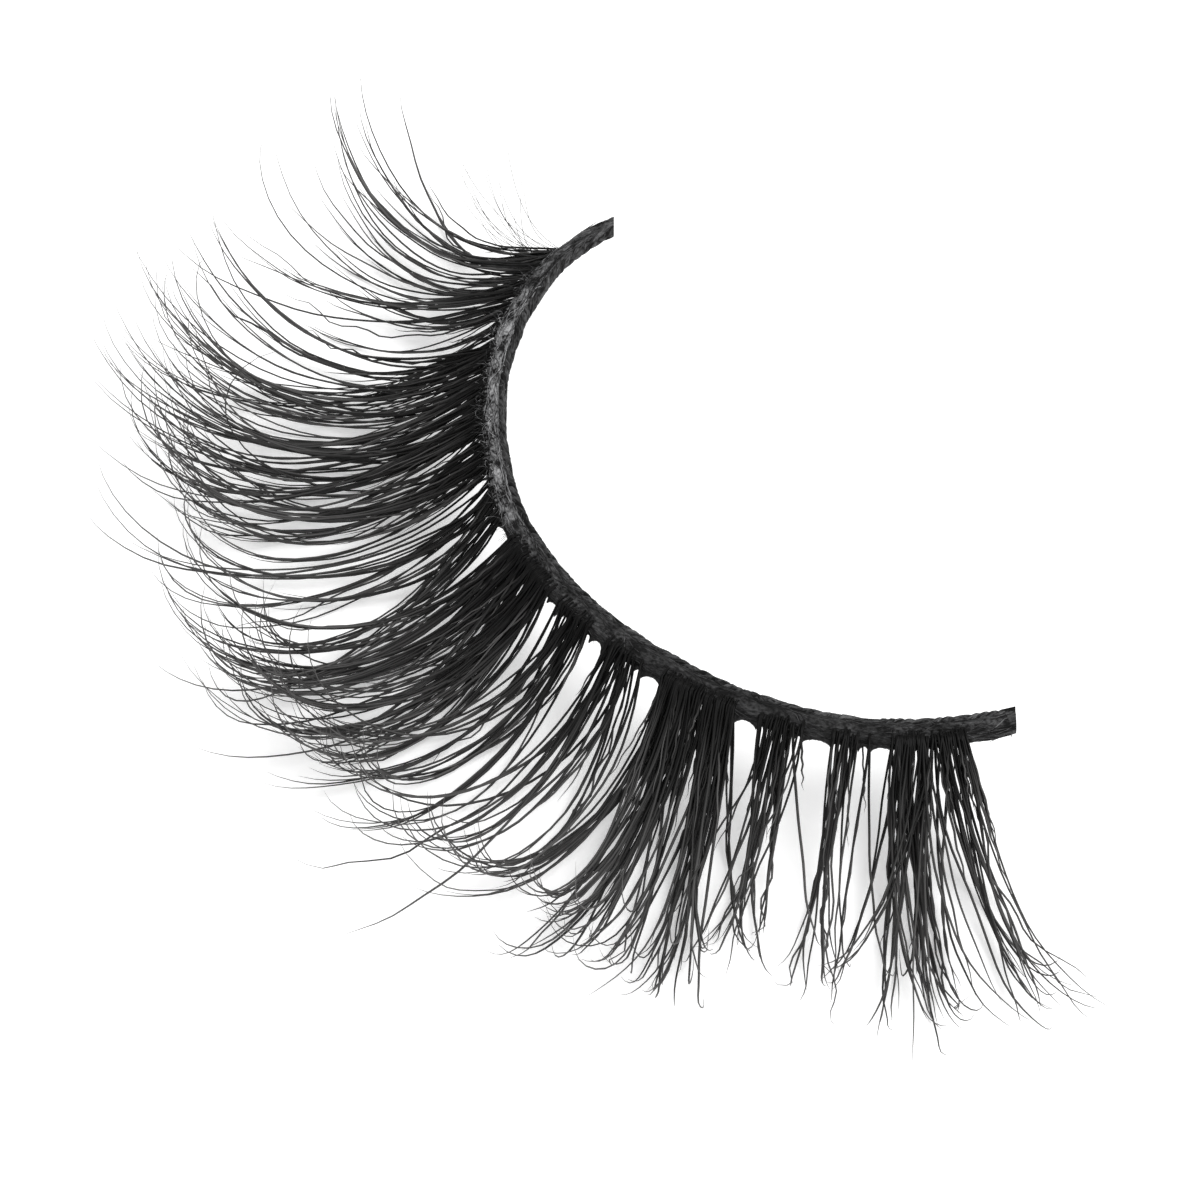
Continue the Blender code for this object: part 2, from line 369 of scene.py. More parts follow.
def thread_plies():
    """The centre lines of the plies that twist round each other along the inner edge."""
    turns = BAND_LENGTH / THREAD_LAY
    steps = int(turns * THREAD_STEPS_PER_LAY)
    station = np.linspace(-END_SPARE, 1 + END_SPARE, steps + 1)
    twist = station * turns + uneven(station, THREAD_KNOTS, THREAD_TWIST_CHANGE)
    sway = uneven(station, THREAD_KNOTS, THREAD_SWAY)
    middle = -band_reach(station)[1] + THREAD_WIDTH / 2 + sway
    paths = []
    radii = []
    for ply in range(THREAD_PLIES):
        radius = THREAD_WIDTH * (PLY_WIDTH_SHARE + uneven(station, PLY_KNOTS, PLY_WIDTH_CHANGE)) / 2
        swing = THREAD_WIDTH / 2 - radius
        angle = 2 * np.pi * (twist + ply / THREAD_PLIES)
        rise = np.sin(angle) * swing * BAND_THICKNESS / THREAD_WIDTH
        paths.append(beside_band(station, middle + np.cos(angle) * swing, BAND_MIDDLE + rise))
        radii.append(radius)
    return np.array(paths), np.array(radii)


SAME_PLACE = 1e-8


def cut_ends(bm):
    """Cuts the band's ends off blunt, as with one pair of scissors, and closes the cuts."""
    facing = (math.cos(math.radians(CUT_FACING)), math.sin(math.radians(CUT_FACING)), 0.0)
    for station in (0.0, 1.0):
        end = Vector(beside_band(station, 0.0, BAND_MIDDLE))
        near = {vert for vert in bm.verts if (vert.co - end).length < CUT_REACH}
        faces = [face for face in bm.faces if all(vert in near for vert in face.verts)]
        edges = {edge for face in faces for edge in face.edges}
        bmesh.ops.bisect_plane(bm, geom=list(near) + list(edges) + faces, dist=SAME_PLACE,
                               plane_co=end, plane_no=facing, clear_outer=True)
    bmesh.ops.holes_fill(bm, edges=[edge for edge in bm.edges if edge.is_boundary], sides=0)


def pale_along(piece, column):
    """Sets how pale the cotton is at each of a piece's points, from its nearest station."""
    stations = np.linspace(0, 1, CURVE_STEPS + 1)
    line = beside_band(stations, 0.0, 0.0)[:, :2]
    points = np.array([vert.co[:2] for vert in piece.data.vertices])
    nearest = np.array([((line - point) ** 2).sum(axis=1).argmin() for point in points])
    share = read_table(PALENESS, stations[nearest])[column]
    piece.data.attributes["tone"].data.foreach_set("value", share.astype(np.float32))


bm = bmesh.new()
paths, radii = thread_plies()
draw_strands(bm, paths, radii, np.ones(len(paths)), sides=PLY_SIDES)
cut_ends(bm)
edge_thread = piece_from("edge_thread", bm, COTTON, "cotton_band", "band")
pale_along(edge_thread, 1)


# The cotton tape
# Beside the thread lies a flat bundle of cotton fibres, pressed and glued round the roots of the
# hairs. It is the rest of the band's width, and its fibres run along it in low ridges.

TAPE_ROWS = 700
TAPE_SIDES = 36
TAPE_SQUARENESS = 3.0
TAPE_OVERLAP = 0.00010
RIDGE_HEIGHT = 0.000012

# The ridges of the fibres: ridges round the tape, waves along it, phase
RIDGES = (
    (5, 9.0, 0.3),
    (7, -14.0, 1.9),
    (11, 21.0, 4.1),
    (3, 33.0, 2.6),
    (2, -57.0, 5.0),
)

# The tape's own random changes of width and height, drawn at evenly spaced knots
TAPE_KNOTS = np.linspace(-0.02, 1.02, 90)
TAPE_WIDTH_CHANGE = 0.000022
TAPE_HEIGHT_CHANGE = 0.000018
tape_swell = dice.normal(0, TAPE_WIDTH_CHANGE, len(TAPE_KNOTS))
tape_rise = dice.normal(0, TAPE_HEIGHT_CHANGE, len(TAPE_KNOTS))


def tape_centre(station):
    """The middle and the half width of the tape across the band."""
    hair_side, inner_side = band_reach(station)
    inner = THREAD_WIDTH - TAPE_OVERLAP - inner_side
    outer = hair_side + np.interp(station, TAPE_KNOTS, tape_swell)
    return (inner + outer) / 2, (outer - inner) / 2


def tape_surface(station, angle, lift=0.0):
    """Points on the tape at an angle round its section, 0 at the hair side and 90 on top."""
    middle, half = tape_centre(station)
    turn = np.radians(angle)
    ridge = sum(np.sin(count * turn + 2 * np.pi * waves * station + phase)
                for count, waves, phase in RIDGES)
    grow = lift + RIDGE_HEIGHT * ridge / len(RIDGES) * 2
    power = 2 / TAPE_SQUARENESS
    across = np.sign(np.cos(turn)) * np.abs(np.cos(turn)) ** power * (half + grow)
    up = np.sign(np.sin(turn)) * np.abs(np.sin(turn)) ** power * (BAND_THICKNESS / 2 - RIDGE_HEIGHT + grow)
    up = np.where(up > 0, up + np.interp(station, TAPE_KNOTS, tape_rise), up)
    return beside_band(station, middle + across, BAND_MIDDLE + up)


bm = bmesh.new()
bmesh.ops.create_grid(bm, x_segments=TAPE_ROWS, y_segments=TAPE_SIDES, size=0.5)
bm.verts.layers.float.new("tone")
lie = bm.verts.layers.float_vector.new("lie")
places = np.array([vert.co[:2] for vert in bm.verts]) + 0.5
stations = places[:, 0] * (1 + 2 * END_SPARE) - END_SPARE
for vert, place, point in zip(bm.verts, places, tape_surface(stations, places[:, 1] * 360)):
    turn = 2 * math.pi * place[1]
    vert.co = point
    vert[lie] = (place[0] * BAND_LENGTH, math.cos(turn) * BAND_WIDTH / 4, math.sin(turn) * BAND_WIDTH / 4)
bmesh.ops.remove_doubles(bm, verts=bm.verts, dist=SAME_PLACE)
cut_ends(bm)
bmesh.ops.recalc_face_normals(bm, faces=bm.faces)
cotton_tape = piece_from("cotton_tape", bm, COTTON, "cotton_band", "band")
pale_along(cotton_tape, 0)


# The loose fibres
# Fine cotton fibres lie along the band and a short fuzz stands off it, thickest and palest on the
# hair side of the tight end, where the cotton is not covered by glue.

FLUFF = mottled("cotton_fluff", dark=(0.012, 0.012, 0.012), pale=(0.55, 0.55, 0.56),
                patch_scale=2600.0, grain_scale=9000.0, roughness=0.9, specular=0.1, bump=0.000004)
FLUFF_TONES = (0.1, 1.4)

# The fibres that lie along the band. Pairs are the lowest and the highest value.
LAID_FIBRES = 650
LAID_SECTIONS = 9
LAID_STARTS = (0.0, 0.97)
LAID_REACHES = (0.02, 0.08)
LAID_WITHIN = (0.008, 0.992)
LAID_ANGLES = (-40, 200)
LAID_DRIFT = 55
LAID_WAVE = 9
LAID_WAVE_TURN = 7
LAID_CLEARANCE = 0.000006
LAID_END_LIFT = 0.00007
LAID_RADII = (0.000006, 0.000013)
LAID_THINNING = 0.5

# The fuzz that stands off the band, part of it at the tight end, where its angles are given by
# their middle and their spread
FUZZ_FIBRES = 620
FUZZ_SECTIONS = 7
FUZZ_TIGHT_SHARE = 0.45
FUZZ_TIGHT_STATIONS = (0.10, 0.46)
FUZZ_TIGHT_ANGLE = (35, 35)
FUZZ_ANGLES = (-30, 210)
FUZZ_LENGTHS = (0.00015, 0.0006)
FUZZ_AWAY = 0.7
FUZZ_LEAN = 1.0
FUZZ_CURL = 1.6
FUZZ_RADII = (0.000005, 0.000008)
FUZZ_THINNING = 0.6


def laid_fibres():
    """Fibres that run along the tape and the thread, wander over them and lift at their ends."""
    start = dice.uniform(*LAID_STARTS, LAID_FIBRES)
    reach = dice.uniform(*LAID_REACHES, LAID_FIBRES)
    angle = dice.uniform(*LAID_ANGLES, LAID_FIBRES)
    drift = dice.normal(0, LAID_DRIFT, LAID_FIBRES)
    share = np.linspace(0, 1, LAID_SECTIONS)
    station = np.clip(start[:, None] + reach[:, None] * share, *LAID_WITHIN)
    wave = dice.uniform(0, 2 * np.pi, LAID_FIBRES)[:, None]
    turn = angle[:, None] + drift[:, None] * share + LAID_WAVE * np.sin(wave + LAID_WAVE_TURN * share)
    from_middle = 2 * share - 1
    ends = dice.uniform(0, LAID_END_LIFT, LAID_FIBRES)[:, None] * from_middle ** 4
    paths = tape_surface(station, turn, LAID_CLEARANCE + ends)
    radii = dice.uniform(*LAID_RADII, LAID_FIBRES)[:, None] * (1 - LAID_THINNING * from_middle ** 6)
    return paths, radii, start + reach / 2


def fuzz_fibres():
    """Short fibres that stand off the band and curl."""
    count = FUZZ_FIBRES
    tight_end = dice.uniform(size=count) < FUZZ_TIGHT_SHARE
    station = np.where(tight_end, dice.uniform(*FUZZ_TIGHT_STATIONS, count), dice.uniform(0, 1, count))
    angle = np.where(tight_end, dice.normal(*FUZZ_TIGHT_ANGLE, count), dice.uniform(*FUZZ_ANGLES, count))
    roots = tape_surface(station, angle)
    length = dice.uniform(*FUZZ_LENGTHS, count)
    away = unit(roots - beside_band(station, tape_centre(station)[0], BAND_MIDDLE))
    heading = np.radians(heading_at(station))
    forward = np.stack([np.cos(heading), np.sin(heading), np.zeros(count)], axis=-1)
    lean = dice.normal(0, FUZZ_LEAN, count)[:, None]
    curl = dice.normal(0, FUZZ_CURL, (count, 3))
    share = np.linspace(0, 1, FUZZ_SECTIONS)[None, :, None]
    steps = unit(away[:, None] * FUZZ_AWAY + forward[:, None] * lean[:, None] + curl[:, None] * share
                 + np.roll(curl, 1, axis=1)[:, None] * share ** 2)
    paths = roots[:, None] + np.cumsum(steps, axis=1) * length[:, None, None] / FUZZ_SECTIONS
    radii = dice.uniform(*FUZZ_RADII, count)[:, None] * (1 - FUZZ_THINNING * share[0, :, 0])
    return paths, radii, station


bm = bmesh.new()
for paths, radii, stations in (laid_fibres(), fuzz_fibres()):
    paleness = read_table(PALENESS, stations)[0] * dice.uniform(*FLUFF_TONES, len(stations))
    draw_strands(bm, paths, radii, np.clip(paleness, 0, 1))
piece_from("loose_fibres", bm, FLUFF, "cotton_band")


# The glue web
# Black glue holds the hairs under the band. It has dried as a thin web along their roots, deeper
# where a tuft leaves it and drawn back in a round arch between two tufts.

# The tufts: where each starts and ends as shares of the band's length, its long hairs, the short
# hairs round its roots, its own lean, its own further lean by the tips, how far its locks lean
# apart, its length as a share of the flow's, the share of its long hairs that are cropped
TUFTS = (
    (0.066, 0.100, 34, 22, 2, -3, 6.0, 1.00, 0.30),
    (0.106, 0.137, 30, 20, 3, -8, 5.0, 1.00, 0.40),
    (0.143, 0.178, 18, 14, 7, -5, 4.0, 0.88, 1.00),
    (0.189, 0.225, 36, 28, 10, -12, 6.0, 1.00, 0.25),
    (0.232, 0.270, 46, 32, 9, -11, 8.0, 1.02, 0.20),
    (0.276, 0.311, 52, 32, 6, -12, 8.0, 1.00, 0.20),
    (0.319, 0.361, 42, 18, 8, -4, 8.0, 0.98, 0.20),
    (0.373, 0.420, 42, 8, 6, 0, 9.0, 0.99, 0.20),
    (0.446, 0.475, 50, 18, 4, -8, 9.0, 1.00, 0.20),
    (0.479, 0.521, 70, 22, 3, -12, 8.0, 0.99, 0.20),
    (0.535, 0.580, 34, 4, -2, -13, 8.0, 0.99, 0.20),
    (0.597, 0.640, 30, 2, 0, -10, 7.0, 1.02, 0.20),
    (0.664, 0.699, 64, 34, 1, -5, 9.0, 1.03, 0.20),
    (0.702, 0.738, 58, 30, 9, 1, 8.0, 1.06, 0.25),
    (0.762, 0.804, 28, 12, -1, 2, 6.0, 0.97, 0.30),
    (0.831, 0.864, 20, 6, 1, 0, 9.0, 1.00, 0.30),
    (0.884, 0.920, 52, 36, -3, -1, 6.5, 1.03, 0.25),
    (0.922, 0.950, 28, 26, -6, 5, 7.5, 1.00, 0.20),
)

# The web reaches WEB_ARCH from the band between two posts, and at a post a depth between the two
# of WEB_POST_DEPTH. A tuft has a post at each end and others about WEB_POST_SPACE apart.
WEB_ROWS = 1400
WEB_COLUMNS = 6
WEB_ARCH = 0.00011
WEB_POST_DEPTH = (0.00022, 0.00060)
WEB_POST_SPACE = 0.0075
WEB_POST_SCATTER = 0.0007
WEB_THICKNESS = 0.00020
WEB_THINNEST = 0.004
WEB_PITCH = -42.0
WEB_SINK = 0.00008
WEB_START = TUFTS[0][0] - 0.004
WEB_END = TUFTS[-1][1] + 0.003

# The lumps of the glue: their height, and the two rates at which they come along the band
LUMP_HEIGHT = 0.00003
LUMP_RATES = (800, 470)
GLUE = mottled("dried_glue", dark=(0.004, 0.004, 0.004), pale=(0.02, 0.02, 0.021),
               patch_scale=2500.0, grain_scale=9000.0, roughness=0.5, specular=0.25, bump=0.00001)


def web_posts():
    """The places where the glue runs furthest down the hairs, and how far it runs at each."""
    places = []
    for start, end, *_ in TUFTS:
        inner = max(2, round((end - start) / WEB_POST_SPACE))
        scatter = dice.normal(0, WEB_POST_SCATTER, inner + 1)
        places.extend(np.linspace(start, end, inner + 1) + scatter)
    return np.sort(places), dice.uniform(*WEB_POST_DEPTH, len(places))


POST_PLACES, POST_DEPTHS = web_posts()


def web_depth(station):
    """How far the glue reaches from the band: deep at its posts, in a round arch between two."""
    after = np.clip(np.searchsorted(POST_PLACES, station), 1, len(POST_PLACES) - 1)
    low, high = POST_PLACES[after - 1], POST_PLACES[after]
    across = np.clip(2 * (station - low) / (high - low) - 1, -1, 1)
    post_depth = np.interp(station, POST_PLACES, POST_DEPTHS)
    return WEB_ARCH + (post_depth - WEB_ARCH) * (1 - np.sqrt(1 - across ** 2))


def web_mesh():
    """A thin sheet from the band down the roots, thinning to its edge, as a closed mesh."""
    bm = bmesh.new()
    under = bmesh.ops.create_grid(bm, x_segments=WEB_ROWS, y_segments=WEB_COLUMNS, size=0.5)["verts"]
    raised = bmesh.ops.extrude_face_region(bm, geom=bm.faces[:], use_keep_orig=True)["geom"]
    top = [item for item in raised if isinstance(item, bmesh.types.BMVert)]
    slope = math.radians(WEB_PITCH)
    for verts, sign in ((under, -1), (top, 1)):
        places = np.array([vert.co[:2] for vert in verts]) + 0.5
        station = WEB_START + (WEB_END - WEB_START) * places[:, 0]
        depth = web_depth(station) * places[:, 1]
        half = WEB_THICKNESS / 2 * np.sqrt(np.clip(1 - places[:, 1] ** 3, WEB_THINNEST, 1))
        lump = LUMP_HEIGHT * np.sin(station * LUMP_RATES[0]) * np.sin(station * LUMP_RATES[1] + 1)
        middle_out = band_reach(station)[0] - WEB_SINK + depth * math.cos(slope)
        outward = middle_out - sign * half * math.sin(slope)
        middle_height = BAND_LOW + WEB_THICKNESS / 2 + depth * math.sin(slope)
        height = middle_height + sign * (half + lump) * math.cos(slope)
        for vert, point in zip(verts, beside_band(station, outward, height)):
            vert.co = point
    bmesh.ops.recalc_face_normals(bm, faces=bm.faces)
    tone = bm.verts.layers.float.new("tone")
    lie = bm.verts.layers.float_vector.new("lie")
    for vert in bm.verts:
        vert[tone] = 1.0
        vert[lie] = vert.co
    return bm


piece_from("glue_web", web_mesh(), GLUE, "lash_hair")


# The lashes
# Each tuft is some thirty to a hundred tapered black hairs, glued by their roots and curled on a
# rod. They cling together in small locks that cross their neighbours, with shorter hairs round the
# roots, and a few fine pale hairs come out of the band just before the first tuft.

LASH_LENGTH = 0.0162
HAIR_WIDTH = 0.000091
HAIR_SECTIONS = 20

# The flow of the hair along the band: station, length as a share of LASH_LENGTH, lean of the roots
# towards the band's far end, further lean by the tips, pitch of the tips, ease of the curl
FLOW = (
    (0.06, 0.76, 0, -16, 90, 2.0),
    (0.13, 0.88, -2, -10, 78, 1.7),
    (0.22, 0.97, -1, -8, 90, 1.5),
    (0.32, 0.97, 0, -4, 90, 1.4),
    (0.45, 1.00, 4, -3, 92, 1.2),
    (0.60, 0.98, 6, -6, 92, 1.05),
    (0.66, 0.99, 9, -22, 88, 1.0),
    (0.70, 0.88, 7, -4, 78, 1.15),
    (0.74, 0.80, 2, 2, 68, 1.3),
    (0.78, 0.72, 3, 3, 60, 1.5),
    (0.86, 0.74, 1, 4, 58, 1.5),
    (0.91, 0.79, 1, 5, 58, 1.5),
    (0.96, 0.75, 8, 9, 48, 1.5),
)

# The line of a curled hair: its steps, how far past its full length it is drawn, and the steepest
# and the most level pitch of its root, between which the right one is sought
PATH_STEPS = 60
LONGEST = 1.15
STEEPEST_ROOT = -84.0
LEVEL_ROOT = 0.0
PITCH_TRIES = 20

# The locks of a tuft, which lean apart by FAN from the first to the last. Pairs are the lowest and
# the highest value, and for the pitch of the tips the middle and the spread.
HAIRS_PER_LOCK = 3.4
FAN = 9.0
LOCK_SCATTER = 0.08
LOCK_PLACES = (0.04, 0.96)
LOCK_SWEEP = 13.0
LOCK_LENGTHS = (0.88, 1.05)
LOCK_TIP = (2.0, 12.0)
LOCK_BELLIES = (0.00008, 0.0013)
LOCK_HOLDS = (0.15, 0.85)
LOCK_ROOT_HEIGHTS = (0.1, 0.9)

# The roots of the hairs, as shares of the tuft's width and of the band's thickness, and their reach
# past the band's edge and depth behind it. Past a station, most hairs are glued on top of the band.
ROOT_SCATTER = 0.17
ROOT_HEIGHTS = (0.05, 1.0)
ROOT_HEIGHT_EASE = 0.6
ROOT_REACHES = (-0.00008, 0.00004)
ROOT_DEPTH = 0.00012
ON_TOP_FROM = 0.42
ON_TOP_SHARE = 0.6
ON_TOP_HEIGHT = 0.95
ON_TOP_REACH = 0.00003
ON_TOP_DEPTHS = (0.00010, 0.00040)

# How clear the hairs stay of the table and of the band's top
CLEARANCE = 0.00001

# How far the hairs of a lock differ from it, and the strays still more
HAIR_LEAN = 3.0
HAIR_SWEEP = 6.0
HAIR_TIP = 9.0
HAIR_BELLY = 0.0003
LOWEST_BELLY = 0.00006
STRAY_SHARE = 0.09
STRAY_LOOSENESS = 2.6
STRAY_HOLD = 0.15

# Where the hairs end, as shares of their full length
FULL_CUTS = (0.74, 1.06)
CROPPED_CUTS = (0.38, 0.72)
SHORT_CUTS = (0.12, 0.36)

# How the hairs of a lock cling to its line: how far beside it they lie, how closely they follow it,
# and over which shares of their length they meet it and come loose again
BESIDE = 0.000036
CLING = 0.93
CLING_OVER = (0.04, 0.42)
LOOSE_OVER = (0.50, 1.00)

# The waves along each hair, and the larger ones of a few crinkled hairs
WAVES = (2.0, 5.0)
SWING = 0.00004
CRINKLED_SHARE = 0.06
CRINKLED_SWING = 0.00020

# How thick the hairs are, as shares of HAIR_WIDTH
HAIR_SIZES = (0.75, 1.15)
SHORT_HAIR_SIZE = 0.85

# How a hair thins along its length: share of the length, share of its width at the root
HAIR_TAPER = (
    (0.00, 1.00),
    (0.45, 0.93),
    (0.70, 0.76),
    (0.88, 0.46),
    (1.00, 0.08),
)


def curl_paths(roots, direction, sweep, length, tip_pitch, ease, belly):
    """The lines of curled hairs, which dip until their bellies are at a height, then rise."""
    share = (np.arange(int(PATH_STEPS * LONGEST)) + 0.5) / PATH_STEPS
    eased = share ** ease[:, None]
    steep = np.full(len(roots), STEEPEST_ROOT)
    level = np.full(len(roots), LEVEL_ROOT)
    for _ in range(PITCH_TRIES):
        middle = (steep + level) / 2
        pitch = middle[:, None] + (tip_pitch - middle)[:, None] * eased
        rise = np.cumsum(np.sin(np.radians(pitch)), axis=1) * length[:, None] / PATH_STEPS
        low = (roots[:, 2, None] + rise).min(axis=1) < belly
        steep = np.where(low, middle, steep)
        level = np.where(low, level, middle)
    pitch = np.radians(level[:, None] + (tip_pitch - level)[:, None] * eased)
    yaw = np.radians(direction[:, None] + sweep[:, None] * share)
    steps = np.stack([np.cos(pitch) * np.cos(yaw), np.cos(pitch) * np.sin(yaw), np.sin(pitch)], axis=-1)
    path = roots[:, None] + np.cumsum(steps, axis=1) * length[:, None, None] / PATH_STEPS
    return np.concatenate([roots[:, None], path], axis=1)


def read_paths(paths, share):
    """Points of each path at shares of its full length, one row of shares for each path."""
    place = np.clip(share * PATH_STEPS, 0, paths.shape[1] - 1.001)
    index = place.astype(int)
    part = (place - index)[..., None]
    row = np.arange(len(paths))[:, None]
    return paths[row, index] * (1 - part) + paths[row, index + 1] * part


def smooth_step(low, high, value):
    """A smooth rise from 0 at the low value to 1 at the high one."""
    share = np.clip((value - low) / (high - low), 0, 1)
    return share * share * (3 - 2 * share)


def grown(station, height, outward, lean, sweep, length_share, tip_change, belly):
    """Lines of hairs that follow the flow at their stations, with their own changes to it."""
    flow_length, flow_lean, flow_sweep, flow_tip, ease = read_table(FLOW, station)
    roots = beside_band(station, outward, height)
    direction = heading_at(station) - 90 + flow_lean + lean
    return curl_paths(roots, direction, flow_sweep + sweep, LASH_LENGTH * flow_length * length_share,
                      flow_tip + tip_change, ease, belly)


def tuft_locks(dice, start, end, locks, own_lean, own_sweep, apart, length_share):
    """The station, lean, sweep, length, tip, belly and hold of each lock, and each lock's line."""
    place = (np.arange(locks) + 0.5) / locks
    spread = np.clip(place + dice.normal(0, LOCK_SCATTER, locks), *LOCK_PLACES)
    station = start + (end - start) * spread
    lean = own_lean + dice.normal(0, apart, locks) + (place - 0.5) * FAN
    sweep = own_sweep + dice.normal(0, LOCK_SWEEP, locks)
    length = length_share * dice.uniform(*LOCK_LENGTHS, locks)
    tip = dice.normal(*LOCK_TIP, locks)
    belly = dice.uniform(*LOCK_BELLIES, locks)
    hold = dice.uniform(*LOCK_HOLDS, locks)
    height = BAND_LOW + BAND_THICKNESS * dice.uniform(*LOCK_ROOT_HEIGHTS, locks)
    lines = grown(station, height, band_reach(station)[0], lean, sweep, length, tip, belly)
    return np.array([station, lean, sweep, length, tip, belly, hold]), lines


def hair_ends(dice, cropped, short):
    """Where each hair ends, as a share of its full length."""
    hairs = len(short)
    ends = np.where(cropped, dice.uniform(*CROPPED_CUTS, hairs), dice.uniform(*FULL_CUTS, hairs))
    return np.where(short, dice.uniform(*SHORT_CUTS, hairs), ends)


def clung(dice, own, guide, place, hold, stray):
    """The hairs' own lines, drawn towards the lines of their locks."""
    beside = dice.normal(0, BESIDE, (len(own), 1, 3))
    loosened = 1 - (1 - hold)[:, None] * smooth_step(*LOOSE_OVER, place)
    pull = CLING * smooth_step(*CLING_OVER, place) * loosened
    pull = (pull * np.where(stray, STRAY_HOLD, 1.0)[:, None])[..., None]
    return own + (guide + beside - own) * pull


def wave_hairs(dice, paths, share, station, short):
    """Swings the hairs' lines a little along the band, and crinkles a few of the long ones."""
    hairs = len(paths)
    crinkled = ((dice.uniform(size=hairs) < CRINKLED_SHARE) & ~short)[:, None]
    waves = dice.uniform(*WAVES, hairs)[:, None]
    phase = dice.uniform(0, 2 * np.pi, hairs)[:, None]
    swing = np.where(crinkled, CRINKLED_SWING, SWING) * share * np.sin(2 * np.pi * waves * share + phase)
    across = np.radians(heading_at(station))
    paths[:, :, 0] += swing * np.cos(across)[:, None]
    paths[:, :, 1] += swing * np.sin(across)[:, None]


def tuft_strands(number, start, end, long_hairs, short_hairs, own_lean, own_sweep, apart,
                 length_share, cropped_share):
    """The lines and radii of the hairs of one tuft, drawn by its number."""
    dice = np.random.default_rng(number)
    locks, lock_lines = tuft_locks(dice, start, end, round(long_hairs / HAIRS_PER_LOCK), own_lean,
                                   own_sweep, apart, length_share)
    hairs = long_hairs + short_hairs
    short = np.arange(hairs) >= long_hairs
    cropped = dice.uniform(size=hairs) < cropped_share
    stray = dice.uniform(size=hairs) < STRAY_SHARE
    loose = np.where(stray, STRAY_LOOSENESS, 1.0)
    lock = dice.integers(0, len(lock_lines), hairs)
    lock_station, lock_lean, lock_sweep, length, lock_tip, lock_belly, hold = locks[:, lock]
    station = np.clip(lock_station + dice.normal(0, ROOT_SCATTER * (end - start), hairs), start, end)
    on_top = (station > ON_TOP_FROM) & (dice.uniform(size=hairs) < ON_TOP_SHARE)
    up_the_side = dice.uniform(*ROOT_HEIGHTS, hairs) ** ROOT_HEIGHT_EASE
    height = BAND_LOW + BAND_THICKNESS * np.where(on_top, ON_TOP_HEIGHT, up_the_side)
    reach = np.where(on_top, ON_TOP_REACH, dice.uniform(*ROOT_REACHES, hairs))
    outward = band_reach(station)[0] + reach
    lean = lock_lean + dice.normal(0, HAIR_LEAN, hairs) * loose
    sweep = lock_sweep + dice.normal(0, HAIR_SWEEP, hairs) * loose
    tip = lock_tip + dice.normal(0, HAIR_TIP, hairs) * loose
    belly = np.maximum(lock_belly + dice.normal(0, HAIR_BELLY, hairs), LOWEST_BELLY)
    lines = grown(station, height, outward, lean, sweep, length, tip, belly)

    share = np.linspace(0, 1, HAIR_SECTIONS)[None, :]
    place = share * hair_ends(dice, cropped, short)[:, None]
    own, guide = read_paths(lines, place), read_paths(lock_lines[lock], place)
    paths = clung(dice, own, guide, place, hold, stray)
    wave_hairs(dice, paths, share, station, short)

    size = dice.uniform(*HAIR_SIZES, hairs) * np.where(short, SHORT_HAIR_SIZE, 1.0)
    radii = HAIR_WIDTH / 2 * size[:, None] * read_table(HAIR_TAPER, share[0])[0][None, :]
    paths[:, :, 2] = np.maximum(paths[:, :, 2], radii + CLEARANCE)
    depth = np.where(on_top, dice.uniform(*ON_TOP_DEPTHS, hairs), ROOT_DEPTH)
    foot_height = np.where(on_top, BAND_HIGH + CLEARANCE, height)
    feet = beside_band(station, outward - depth, foot_height)
    return np.concatenate([feet[:, None], paths], axis=1), np.concatenate([radii[:, :1], radii], axis=1)


# The fine hairs before the first tuft: the lean, the sweep and the pitch of the tips by their
# middle and their spread, the rest by the lowest and the highest value
FINE_HAIRS = 18
FINE_HAIR_WIDTH = 0.000024
FINE_HAIR_STATIONS = (0.050, 0.080)
FINE_HAIR_LEAN = (-3.0, 9.0)
FINE_HAIR_SWEEP = (-10.0, 10.0)
FINE_HAIR_LENGTHS = (0.40, 0.66)
FINE_HAIR_BELLIES = (0.0015, 0.0026)
FINE_HAIR_TIP = (-20.0, 12.0)
FINE_HAIR_DEPTH = 0.00004


def fine_hairs():
    """The lines, radii and tones of the fine, pale hairs beside the first tuft."""
    dice = np.random.default_rng(len(TUFTS) + 1)
    station = dice.uniform(*FINE_HAIR_STATIONS, FINE_HAIRS)
    lean = dice.normal(*FINE_HAIR_LEAN, FINE_HAIRS)
    sweep = dice.normal(*FINE_HAIR_SWEEP, FINE_HAIRS)
    length = dice.uniform(*FINE_HAIR_LENGTHS, FINE_HAIRS)
    belly = dice.uniform(*FINE_HAIR_BELLIES, FINE_HAIRS)
    tip = dice.normal(*FINE_HAIR_TIP, FINE_HAIRS)
    outward = band_reach(station)[0] - FINE_HAIR_DEPTH
    lines = grown(station, BAND_MIDDLE, outward, lean, sweep, length, tip, belly)
    share = np.linspace(0, 1, HAIR_SECTIONS)[None, :] * np.ones((FINE_HAIRS, 1))
    radii = FINE_HAIR_WIDTH / 2 * read_table(HAIR_TAPER, share)[0]
    return read_paths(lines, share), radii, np.ones(FINE_HAIRS)


# How a hair pales along its length: share of the length, grey. The pale fine tip is the hair's own colour,
# and the paler middle of its length is painted highlight.
HAIR_GREYS_AND_PAINTED_HIGHLIGHT = (
    (0.05, 0.0035),
    (0.20, 0.0120),
    (0.45, 0.0420),
    (0.85, 0.0650),
    (1.00, 0.0900),
)

# The finish of the hair. The strength of its shade runs from the first value to the second over
# the hairs, and its roughness over its streaks.
HAIR_TINT = (1.0, 0.98, 0.97)
HAIR_STRENGTHS = (0.5, 1.7)
HAIR_SPECULAR = 0.10
HAIR_ROUGHNESS = (0.34, 0.60)
HAIR_RELIEF = 0.4
HAIR_RELIEF_DEPTH = 0.000004
HAIR_STREAK_SCALE = 2600.0
HAIR_STREAK_DETAIL = 3.0


